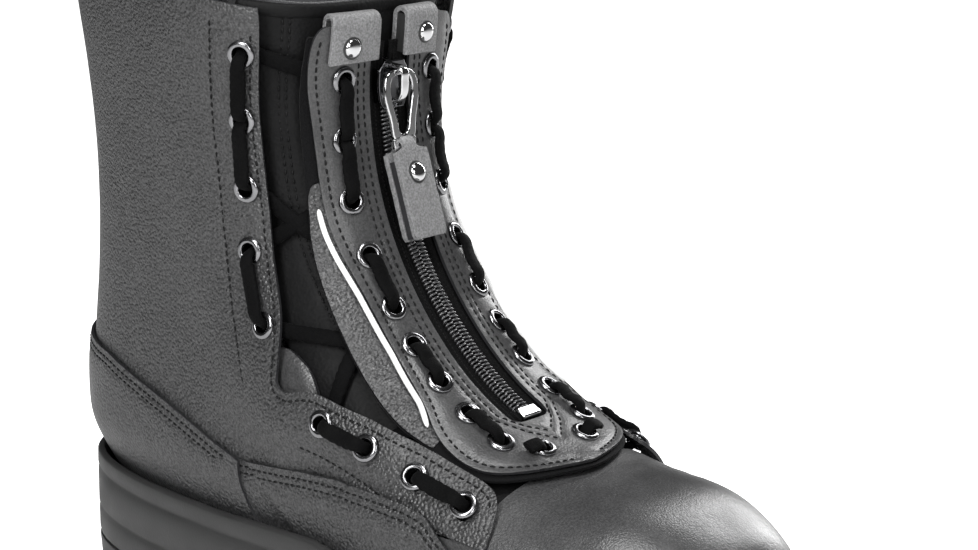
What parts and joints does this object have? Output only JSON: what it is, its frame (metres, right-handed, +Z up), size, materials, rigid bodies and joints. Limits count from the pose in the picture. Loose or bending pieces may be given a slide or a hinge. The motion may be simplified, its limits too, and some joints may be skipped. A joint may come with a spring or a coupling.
{
  "type": "fire boots",
  "caption": "Black leather lace-up fire boot for the right foot, with a zip insert laced into its front and a rubber sole.",
  "frame": {"origin": "centre of the bounding box in plan, on the ground", "axes": "+Z up, the toe towards -Y, the outer side of the foot towards -X"},
  "size_m": [0.1202, 0.3054, 0.2498],
  "materials": {
    "leather": "pebbled, semi-gloss",
    "smooth_leather": "smooth, satin",
    "webbing": "matt woven",
    "fleece": "soft pile",
    "rubber": "satin moulded",
    "foam": "open-cell foam",
    "fibreboard": "pressed fibre",
    "steel": "satin",
    "chrome": "polished",
    "gunmetal": "dark plated, glossy",
    "coil": "glossy",
    "white_trim": "satin"
  },
  "bodies": {
    "boot": {"back_stay": "leather", "collar_pad": "foam", "collar_roll": "smooth_leather", "end_cap_lateral": "webbing", "end_cap_medial": "webbing", "end_cap_rivet_lateral": "chrome", "end_cap_rivet_medial": "chrome", "eyelets_facing_lateral": "gunmetal", "eyelets_facing_medial": "gunmetal", "eyelets_insert_lateral": "gunmetal", "eyelets_insert_medial": "gunmetal", "footbed": "webbing", "foxing_lateral": "leather", "foxing_medial": "leather", "heel_counter": "leather", "heel_stiffener": "fibreboard", "insert_backing": "webbing", "insole_board": "fibreboard", "lace_lateral": "webbing", "lace_medial": "webbing", "lining_bootie": "fleece", "midsole": "rubber", "notch_pad_lateral": "leather", "notch_pad_medial": "leather", "outsole": "rubber", "puncture_plate": "steel", "quarter_lateral": "leather", "quarter_medial": "leather", "reflective_piping_lateral": "white_trim", "reflective_piping_medial": "white_trim", "safety_toe_cap": "steel", "shank": "steel", "tongue": "leather", "vamp": "smooth_leather", "zip_bottom_stop": "chrome", "zip_coil_lateral": "coil", "zip_coil_medial": "coil", "zip_panel": "smooth_leather", "zip_tape_lateral": "webbing", "zip_tape_medial": "webbing"},
    "zip_slider": {"slider_body": "chrome"},
    "pull_link": {"pull_link": "chrome"},
    "pull_tab": {"pull_tab": "webbing", "pull_tab_rivet": "chrome"}
  },
  "joints": [
    {"name": "zip_slide", "type": "hinge", "parent": "boot", "child": "zip_slider", "pos_m": [0, -0.10752, 0.195], "axis": [-1, 0, 0], "range_deg": [0, 56], "deforming": ["zip_coil_lateral", "zip_coil_medial"]},
    {"name": "link_swing", "type": "hinge", "parent": "zip_slider", "child": "pull_link", "pos_m": [0, 0.00602, 0.20101], "axis": [-1, 0, 0], "range_deg": [0, 120]},
    {"name": "tab_swing", "type": "hinge", "parent": "pull_link", "child": "pull_tab", "pos_m": [0, 0.00399, 0.17519], "axis": [-1, 0, 0], "range_deg": [0, 55]}
  ]
}
